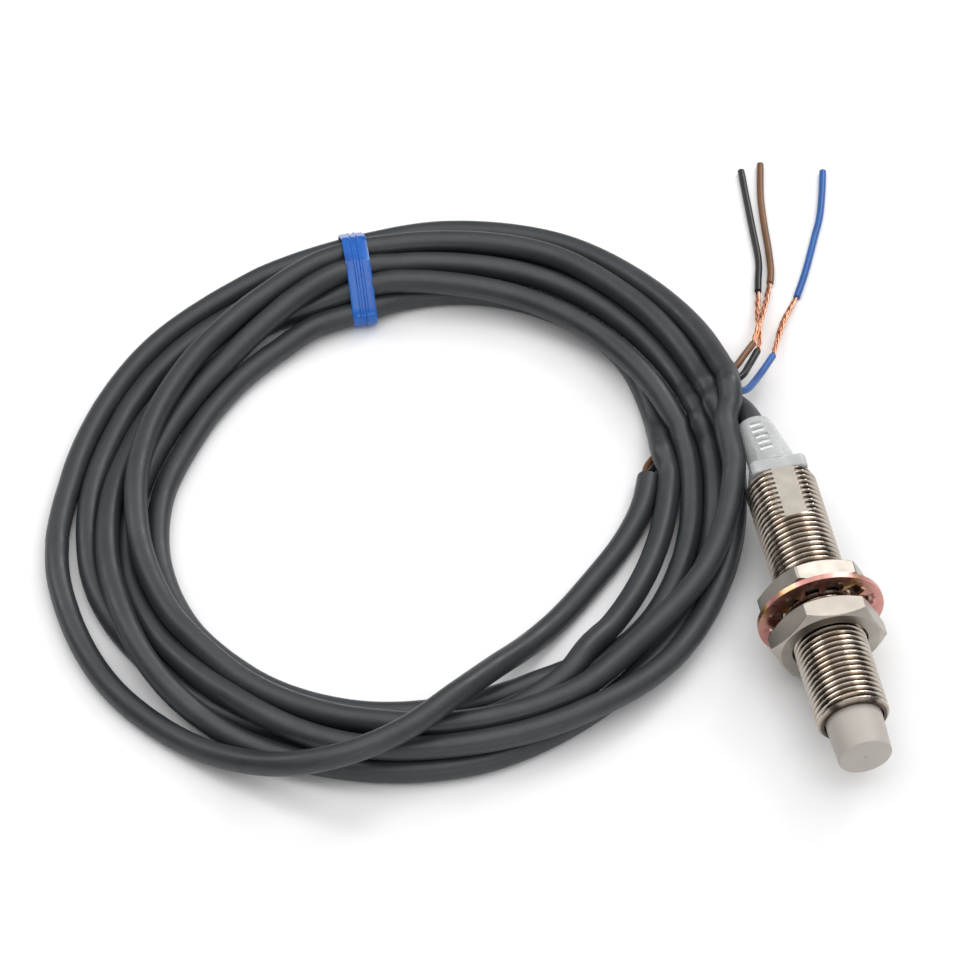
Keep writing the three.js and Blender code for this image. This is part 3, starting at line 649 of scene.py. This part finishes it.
def obstacles():
    """What the turns lie over or beside: points, a turn's nearest distance, and the push's way."""
    points, reach, way = [], [], []
    for wire in CONDUCTORS.values():
        route = smooth_route(wire["root"], 1.0)
        points.append(route)
        reach.append(np.full(len(route), (CORD_DIAMETER + WIRE_DIAMETER) / 2))
        way.append(np.tile((0, 0, 1.2), (len(route), 1)))
    stations = np.linspace(CLAMP_FLANGE[1], CLAMP_REAR, 11)
    points.append(np.stack([lean(stations), FACE_Y + stations, np.full(11, AXIS_Z)], axis=1))
    reach.append(np.linspace(BOOT_RADII[0], BOOT_RADII[1] - 0.1, 11) + CORD_DIAMETER / 2 + 0.1)
    way.append(np.ones((11, 3)))
    return np.vstack(points), np.concatenate(reach), np.vstack(way)


# How strongly the cord springs back from a bend, by the bend's reach in steps.
STIFFNESS = {1: 0.5, 4: 0.3, 9: 0.15}
# The pull back to the turns' drawn places, the sag in millimetres a round, and the rounds.
HOLD = 0.06
SAG = 0.06
ROUNDS = 330
STRAP_ROOM = 0.6


def bending(cord, reach):
    """How far each point lies from the middle of its neighbours, reach steps away."""
    bend = np.zeros_like(cord)
    bend[reach:-reach] = (cord[:-2 * reach] + cord[2 * reach:]) / 2 - cord[reach:-reach]
    return bend


def relax(cord, fixed):
    """Lets the cord's free turns settle on the floor, the conductors and each other."""
    target = cord.copy()
    free = ~fixed
    blocks, block_reach, way = obstacles()
    past_tie = coil_angle(target) - TIE_ANGLE
    over_strap = np.clip((past_tie + 10) / 8, 0, 1) * np.clip((26 - past_tie) / 8, 0, 1)
    floor = FLOOR_LAYER + STRAP_ROOM * over_strap
    flat = np.array([1, 1, 0])
    curls = {reach: bending(target, reach) * flat for reach in STIFFNESS}
    for turn in range(ROUNDS):
        if turn % 15 == 0:
            pairs = close_pairs(cord, cord, CORD_DIAMETER * 1.6, 8)
            near = close_pairs(cord, blocks, 12)
        cord[free, :2] += HOLD * (target - cord)[free, :2]
        cord[free, 2] -= SAG
        for reach, stiffness in STIFFNESS.items():
            cord[free] += stiffness * (bending(cord, reach) - curls[reach])[free]
        for _ in range(3):
            push_apart(cord, free, pairs)
            push_off(cord, free, blocks, block_reach, way, near)
            cord[free, 2] = np.maximum(cord[free, 2], floor[free])
    return cord


def push_apart(cord, free, pairs):
    gap = cord[pairs[:, 1]] - cord[pairs[:, 0]]
    length = np.linalg.norm(gap, axis=1)
    tight = length < CORD_DIAMETER
    share = ((CORD_DIAMETER - length[tight]) / 2 / np.maximum(length[tight], 1e-6))[:, None]
    move, count = np.zeros_like(cord), np.ones(len(cord))
    np.add.at(move, pairs[tight, 0], -share * gap[tight])
    np.add.at(move, pairs[tight, 1], share * gap[tight])
    np.add.at(count, pairs[tight].ravel(), 1)
    cord[free] += (1.6 * move / np.maximum(count - 1, 1)[:, None])[free]


def push_off(cord, free, blocks, reach, way, near):
    gap = cord[near[:, 0]] - blocks[near[:, 1]]
    length = np.linalg.norm(gap, axis=1)
    tight = length < reach[near[:, 1]]
    share = ((reach[near[:, 1]] - length)[tight] / np.maximum(length[tight], 1e-6))[:, None]
    move, count = np.zeros_like(cord), np.ones(len(cord))
    np.add.at(move, near[tight, 0], share * gap[tight] * way[near[tight, 1]])
    np.add.at(count, near[tight, 0], 1)
    cord[free] += (1.3 * move / np.maximum(count - 1, 1)[:, None])[free]


def lay_cord():
    """The lead's centreline from inside the clamp to the cut, in millimetres."""
    cord = smooth_route(LEAD_ROUTE + coil_points() + TAIL_ROUTE, CORD_STEP)
    fixed = np.zeros(len(cord), bool)
    fixed[:np.linalg.norm(cord - LEAD_ROUTE[-2], axis=1).argmin() + 1] = True
    fixed[np.linalg.norm(cord - TAIL_ROUTE[0], axis=1).argmin():] = True
    return relax(cord, fixed)


def twisted_strands(route, strands=6, thickness=0.29, lay=11):
    """Routes of fine strands wound round a conductor's middle line."""
    middle = smooth_route(route, 0.4)
    along = np.gradient(middle, axis=0)
    along /= np.linalg.norm(along, axis=1)[:, None]
    side = np.cross(along, (0, 0, 1))
    side /= np.linalg.norm(side, axis=1)[:, None]
    up = np.cross(side, along)
    reach = np.linspace(0, 0.4 * (len(middle) - 1), len(middle))
    fullness = 1 + 0.35 * np.sin(math.pi * reach / reach[-1])
    wound = [middle]
    for k in range(strands - 1):
        wander = 0.5 * np.sin(reach * 0.9 + k * 2.1)
        turn = 2 * math.pi * (reach / lay + k / (strands - 1)) + wander
        out = (thickness * fullness)[:, None]
        wound.append(middle + out * (np.cos(turn)[:, None] * side + np.sin(turn)[:, None] * up))
    return wound


def add_conductors():
    """Each conductor's root, its bared strands and its slug; all of them go with the lead."""
    copper = bare_copper()
    pieces = []
    for colour, parts in CONDUCTORS.items():
        vinyl = WIRE_FINISHES[colour]
        for part, node in (("root", f"wire_{colour}"), ("slug", f"slug_{colour}")):
            piece = curve_piece(
                f"{colour}_{part}", [smooth_route(parts[part], 0.5)], WIRE_DIAMETER, vinyl, 4)
            pieces.append(settle_in(piece, "sensor", [node]))
        strands = curve_piece(
            f"{colour}_strands", twisted_strands(parts["bare"]), STRAND_DIAMETER, copper, 3)
        pieces.append(settle_in(strands, "sensor", [f"strands_{colour}"]))
    return pieces


# ---- the tie --------------------------------------------------------------

def hull(points):
    """The convex outline of flat points, counter-clockwise."""
    ordered = sorted(map(tuple, points))
    halves = []
    for run in (ordered, ordered[::-1]):
        side = []
        for p in run:
            while len(side) > 1 and (
                    (side[-1][0] - side[-2][0]) * (p[1] - side[-2][1])
                    <= (side[-1][1] - side[-2][1]) * (p[0] - side[-2][0])):
                side.pop()
            side.append(p)
        halves.append(side[:-1])
    return np.array(halves[0] + halves[1])


def even_loop(points, count):
    """A closed outline resampled to count even steps."""
    closed = np.vstack([points, points[:1]])
    reach = np.r_[0, np.cumsum(np.linalg.norm(np.diff(closed, axis=0), axis=1))]
    places = np.linspace(0, reach[-1], count, endpoint=False)
    return np.stack([np.interp(places, reach, closed[:, k]) for k in (0, 1)], axis=1)


def bundle_outline(cord):
    """The tie's middle line round the turns that pass under it, as (radius, height)."""
    offset = np.abs((coil_angle(cord) - TIE_ANGLE + 180) % 360 - 180)
    passing = cord[offset < 1.2]
    radii = np.hypot(passing[:, 0] - COIL_CENTRE[0], passing[:, 1] - COIL_CENTRE[1])
    around = np.radians(np.arange(0, 360, 10))
    reach = CORD_DIAMETER / 2 + STRAP_GAP
    circles = [(r + reach * math.cos(a), z + reach * math.sin(a))
               for r, z in zip(radii, passing[:, 2]) for a in around]
    outline = hull(circles)
    outline[:, 1] = np.maximum(outline[:, 1], 0.3)
    return even_loop(outline, 120)


# The strap's section: across its width, and off its middle line, with two low ridges.
STRAP_HALF = TIE_WIDTH / 2
STRAP_SECTION = [
    (-STRAP_HALF, -0.15), (-STRAP_HALF, 0.0), (-STRAP_HALF + 0.2, 0.12), (-0.8, 0.12),
    (-0.65, 0.26), (-0.35, 0.26), (-0.2, 0.08), (0.2, 0.08), (0.35, 0.26), (0.65, 0.26),
    (0.8, 0.12), (STRAP_HALF - 0.2, 0.12), (STRAP_HALF, 0.0), (STRAP_HALF, -0.15),
    (STRAP_HALF - 0.2, -0.22), (-STRAP_HALF + 0.2, -0.22),
]


def add_tie_band(cord, vinyl):
    loop = bundle_outline(cord)
    ahead = np.roll(loop, -1, axis=0) - np.roll(loop, 1, axis=0)
    ahead /= np.linalg.norm(ahead, axis=1)[:, None]
    outward = np.stack([ahead[:, 1], -ahead[:, 0]], axis=1)
    angle = math.radians(TIE_ANGLE)
    radial = np.array([math.cos(angle), math.sin(angle), 0])
    across = np.array([-math.sin(angle), math.cos(angle), 0])
    centre = np.array([*COIL_CENTRE, 0])
    grid = np.empty((len(loop) + 1, len(STRAP_SECTION), 3))
    for i in range(len(loop) + 1):
        (r, z), (out_r, out_z) = loop[i % len(loop)], outward[i % len(loop)]
        for j, (width, lift) in enumerate(STRAP_SECTION):
            grid[i, j] = centre + radial * (r + out_r * lift) + across * width
            grid[i, j, 2] = max(z + out_z * lift, 0.02)
    band = mesh_piece("tie_strap", [(grid, True)], [vinyl], 40)
    return settle_in(band, "sensor", ["tie_band"])


def add_tie_end(cord, vinyl):
    """The strap's free end, flat on the floor under the outer turns, its tip just past them."""
    outer = cord[(np.abs(coil_angle(cord) - TIE_ANGLE - 10) < 12)]
    edge = np.hypot(outer[:, 0] - COIL_CENTRE[0], outer[:, 1] - COIL_CENTRE[1]).max()
    steps = 24
    grid = np.empty((steps + 1, len(STRAP_SECTION), 3))
    for i in range(steps + 1):
        share = i / steps
        angle = math.radians(TIE_ANGLE + TIE_END_ANGLES[0] + share * TIE_END_ANGLES[1])
        out = np.array([math.cos(angle), math.sin(angle), 0])
        middle = np.array([*COIL_CENTRE, 0]) + out * (edge - 1.5 + 2.4 * share ** 2)
        taper = 1 - 0.5 * max(0, share - 0.8) / 0.2
        for j, (width, lift) in enumerate(STRAP_SECTION):
            grid[i, j] = middle + out * width * taper * 0.8
            grid[i, j, 2] = 0.24 + lift * 0.8
    grids = [(grid, True)]
    for ring in (grid[0], grid[-1]):
        middle = np.broadcast_to(ring.mean(axis=0), (len(ring) + 1, 3))
        grids.append((np.stack([np.vstack([ring, ring[:1]]), middle], axis=1), False))
    end = mesh_piece("tie_end", grids, [vinyl], 40)
    return settle_in(end, "sensor", ["tie_tail"])


# ---- the sensor's pieces --------------------------------------------------

ROOT_END, FLANK_END, CREST_END = 0.25, 0.5625, 0.6875
THREAD_ROWS = [0, 0.125, ROOT_END, 0.4, FLANK_END, 0.625, CREST_END, 0.85]


def thread_radius(turn, station):
    """The barrel's outside at a turn angle and station: thread, chamfers and plain front rim."""
    phase = ((station - BARREL_FRONT) / PITCH - turn / (2 * math.pi)) % 1
    height = np.interp(phase, [0, ROOT_END, FLANK_END, CREST_END, 1], [0, 0, 1, 1, 0])
    from_front, from_rear = station - BARREL_FRONT, BARREL_REAR - station
    cut_in = np.clip((from_front - 0.55) / 0.7, 0, 1)
    height = 1 - cut_in * (1 - height)
    radius = THREAD_RADIUS - THREAD_DEPTH * (1 - height)
    edge = np.minimum(from_front, from_rear)
    return np.minimum(radius, THREAD_RADIUS - CHAMFER + np.clip(edge, 0, CHAMFER))


def add_barrel():
    columns = 144
    turn = full_turn(columns)
    rows = [k + phase for k in range(-1, int(BARREL_REAR - BARREL_FRONT) + 1)
            for phase in THREAD_ROWS]
    station = BARREL_FRONT + PITCH * (np.array(rows)[None, :] + turn / (2 * math.pi))
    station = np.clip(station, BARREL_FRONT, BARREL_REAR)
    outside = about_axis(turn, thread_radius(turn, station), station)
    on_flat = station > BARREL_REAR - FLAT_LENGTH
    limited = np.clip(outside[..., 2], AXIS_Z - FLAT_DISTANCE, AXIS_Z + FLAT_DISTANCE)
    outside[..., 2] = np.where(on_flat, limited, outside[..., 2])
    inside = lathed([
        (BORE_RADIUS, BARREL_REAR), (BORE_RADIUS, CAP_SEAT_REAR),
        (CAP_SEAT_RADIUS, CAP_SEAT_REAR), (CAP_SEAT_RADIUS, BARREL_FRONT)], columns)
    grid = np.concatenate([outside, inside], axis=1)
    barrel = mesh_piece("threaded_barrel", [(grid, True)], [thread_nickel(), SATIN], 32)
    for face in barrel.data.polygons:
        y = face.center.y / MM - FACE_Y
        if abs(face.normal.z) > 0.999 and y > BARREL_REAR - FLAT_LENGTH:
            face.material_index = 1
    settle_in(barrel, "sensor", ["barrel"])


def add_cap():
    """The sensing cap, its moulding gate a shallow dimple with a nub in the middle."""
    edge, wall = 0.3, 0.55
    slope = (CAP_RADIUS - CAP_FACE_RADIUS) / (BARREL_FRONT - edge)
    profile = [(0, 0), (0.12, 0.01), (0.2, 0.1), (0.45, 0.12), (0.62, 0.03), (0.8, 0.0)]
    profile += arc((CAP_FACE_RADIUS - edge, edge), edge, -90, 0)
    profile += [(CAP_FACE_RADIUS + slope * s, edge + s) for s in (1.6, 3.2, 4.8, BARREL_FRONT - edge)]
    profile += [
        (CAP_RADIUS, CAP_REAR), (CAP_RADIUS - wall, CAP_REAR), (CAP_RADIUS - wall, BARREL_FRONT),
        (CAP_FACE_RADIUS - wall, 0.7), (0, 0.7)]
    plastic = moulded("cap_plastic", (0.40, 0.365, 0.33), (0.45, 0.41, 0.375), 0.5, 0.4)
    cap = mesh_piece("cap_shell", [(lathed(profile), False)], [plastic], 40)
    settle_in(cap, "sensor", ["sensing_cap"])


SLOT_STATIONS = [60.6, 61.95, 63.3, 64.65, 66.0]
SLOT_LENGTH = 0.75
SLOT_HALF = 1.05
SLOT_DEPTH = 0.5
SLOT_TURN = -10


def clamp_outline():
    """(radius, station) of the clamp's tapered outside, with rows at every slot's edges."""
    front, rear = CLAMP_FLANGE[1], CLAMP_REAR
    stations = [front]
    for middle in SLOT_STATIONS:
        half = SLOT_LENGTH / 2
        stations += [middle - half - 0.08, middle - half, middle + half, middle + half + 0.08]
    stations.append(rear - 0.6)
    return [(float(np.interp(s, [front, rear - 0.6], BOOT_RADII)), s) for s in stations]


def add_clamp():
    """The clamp: spigot, flange cut square, and a leaning, tapered boot with slots across it."""
    spigot, chamber = 4.3, 3.4
    first, second = CLAMP_FLANGE
    cone = clamp_outline()
    profile = [(chamber, CLAMP_FRONT), (spigot, CLAMP_FRONT), (spigot, first)]
    flange = len(profile)
    rim, break_in = CLAMP_FLANGE_RADIUS, 0.2
    profile += [
        (rim - break_in, first), (rim, first + 0.15),
        (rim, second - break_in), (rim - break_in, second)]
    start = len(profile)
    profile += [(4.05, second)] + cone
    end = len(profile)
    profile += arc((2.7, CLAMP_REAR - 0.25), 0.25, 30, 150, 5)
    bore = BOOT_BORE_RADIUS
    profile += [(bore, CLAMP_REAR - 0.5), (bore, first + 1), (chamber, first)]
    columns = 144
    grid = lathed(profile, columns)
    for j, inset in zip(range(flange, start), (break_in, 0, 0, break_in)):
        wide, high = (half - inset for half in CLAMP_FLANGE_HALF)
        grid[:, j, 0] = np.clip(grid[:, j, 0], -wide, wide)
        grid[:, j, 2] = np.clip(grid[:, j, 2], AXIS_Z - high, AXIS_Z + high)
    turn = np.linspace(0, 2 * math.pi, columns + 1)
    for j in range(start, end):
        radius, station = profile[j]
        inside = any(abs(station - s) <= SLOT_LENGTH / 2 + 1e-6 for s in SLOT_STATIONS)
        across = radius * np.sin(turn - math.radians(SLOT_TURN))
        on_top = np.cos(turn - math.radians(SLOT_TURN)) > 0
        if inside:
            cut = np.where(on_top & (np.abs(across) < SLOT_HALF), SLOT_DEPTH, 0)
            grid[:, j] = about_axis(turn, radius - cut, station)
    grid[..., 0] += lean(grid[..., 1] - FACE_Y)
    # The slot floors get a whiter plastic: a painted highlight for the light that shines on and
    # through the slots.
    slot_painted_highlight = moulded("clamp_slots_painted_highlight", (0.85, 0.86, 0.86), (0.95, 0.95, 0.95), 0.25, 0.1)
    boot = mesh_piece("clamp_boot", [(grid, True)], [clamp_plastic(), slot_painted_highlight], 35)
    # Faces on the slots' floors take the painted highlight.
    for face in boot.data.polygons:
        station = face.center.y / MM - FACE_Y
        in_slot = any(abs(station - s) < SLOT_LENGTH / 2 for s in SLOT_STATIONS)
        if in_slot and is_cut(face.center / MM, station, cone):
            face.material_index = 1
    settle_in(boot, "sensor", ["cable_clamp"])


def is_cut(point, station, cone):
    """Whether a point lies on a slot's floor, between the bore and the uncut outside."""
    radii, stations = zip(*cone)
    off_axis = math.hypot(point.x - lean(station), point.z - AXIS_Z)
    return BOOT_BORE_RADIUS + 0.1 < off_axis < np.interp(station, stations, radii) - SLOT_DEPTH / 2


# ---- nuts and washer ------------------------------------------------------

def add_nut(node):
    """A chamfered hexagon nut, its bore ringed inside, on the CAD nut's place."""
    columns = 180
    front, rear = (y - FACE_Y for y in span(node, 1))
    turn = full_turn(columns)
    off_flat = (np.degrees(turn) - NUT_ROLLS[node] + 30) % 60 - 30
    rim = NUT_ACROSS_FLATS / 2 / np.cos(np.radians(off_flat))
    face = NUT_ACROSS_FLATS / 2 * 0.97
    fall = (rim - face) * math.tan(math.radians(30))
    flat = np.zeros_like(turn)
    bore, mouth, rise = 6.1, 6.3, 0.35
    rows = [
        (mouth + flat, front + flat), (face + flat, front + flat), (rim, front + fall),
        (rim, rear - fall), (face + flat, rear + flat), (mouth + flat, rear + flat),
    ]
    inner = np.arange(rear - rise, front + rise - 1e-6, -PITCH / 2)
    for k, station in enumerate(inner):
        rows.append((bore + 0.15 * (k % 2) + flat, station + flat))
    radius = np.concatenate([r for r, _ in rows], axis=1)
    station = np.concatenate([s for _, s in rows], axis=1)
    nut = mesh_piece(f"{node}_hex", [(about_axis(turn, radius, station), True)], [SATIN], 20)
    soften(nut, 0.1)
    settle_in(nut, node, [node])


def add_washer():
    """The lock washer: a flat ring with twelve twisted teeth inside it."""
    steps = 28
    columns = WASHER_TEETH * steps
    front, rear = (y - FACE_Y for y in span("toothed_washer", 1))
    rim = span("toothed_washer", 0)[1]
    turn = full_turn(columns)
    pitch = 2 * math.pi / WASHER_TEETH
    off_tooth = (turn + math.pi / 2 + pitch / 2) % pitch - pitch / 2
    edge = pitch * 0.2
    share = np.clip((edge - np.abs(off_tooth)) / 0.05 + 0.5, 0, 1)
    share = share * share * (3 - 2 * share)
    inner = WASHER_ROOT - (WASHER_ROOT - WASHER_TIP - 0.1) * share
    reach = np.linspace(0, 1, 8)[None, :]
    radius = inner + (rim - inner) * reach
    bend = np.clip((WASHER_ROOT + 0.3 - radius) / (WASHER_ROOT - WASHER_TIP), 0, 1)
    lift = bend * off_tooth * radius * 0.55
    half = (rear - front) / 2
    middle = (front + rear) / 2
    thin = half * (1 - 0.4 * bend)
    top = about_axis(turn, radius, np.clip(middle + lift - thin, front - 0.3, None))
    under = about_axis(turn, radius, np.clip(middle + lift + thin, None, rear + 0.25))
    grid = np.concatenate([top, under[:, ::-1]], axis=1)
    washer = mesh_piece("washer_toothed", [(grid, True)], [yellow_chromate()], 35)
    settle_in(washer, "washer", ["toothed_washer"])


# ---- the whole ------------------------------------------------------------

bpy.context.scene.view_settings.view_transform = "Standard"

add_camera()
cord_line = lay_cord()
WIRE_FINISHES = {
    "brown": wire_vinyl("brown_vinyl", (0.12, 0.050, 0.018), (0.18, 0.080, 0.032)),
    "black": wire_vinyl("black_vinyl", (0.007, 0.007, 0.008), (0.014, 0.014, 0.015)),
    "blue": wire_vinyl("blue_vinyl", (0.012, 0.07, 0.26), (0.02, 0.11, 0.36)),
}
SATIN = satin_nickel()

lead = curve_piece("lead_cable", [cord_line], CORD_DIAMETER, jacket_vinyl(), 7)
settle_in(lead, "sensor", ["cable_lead", "cable_coil", "cable_tail"])
tie_blue = moulded("tie_vinyl", (0.003, 0.065, 0.33), (0.006, 0.12, 0.48), 0.25, 0.1)
on_lead = add_conductors()
on_lead += [add_tie_band(cord_line, tie_blue), add_tie_end(cord_line, tie_blue)]

add_barrel()
add_cap()
add_clamp()
for nut_name in NUT_ROLLS:
    add_nut(nut_name)
add_washer()
finish_inner_parts()

add_room()
add_floor()
add_softbox("top_softbox", 0, 89, 1.3, (1.4, 1.4), 11)
add_softbox("left_softbox", -130, 33, 1.2, (0.25, 0.8), 3)
add_softbox("right_softbox", 132, 33, 1.2, (0.3, 0.8), 4.5)
add_softbox("front_softbox", 5, 18, 1.3, (1.2, 0.3), 3)
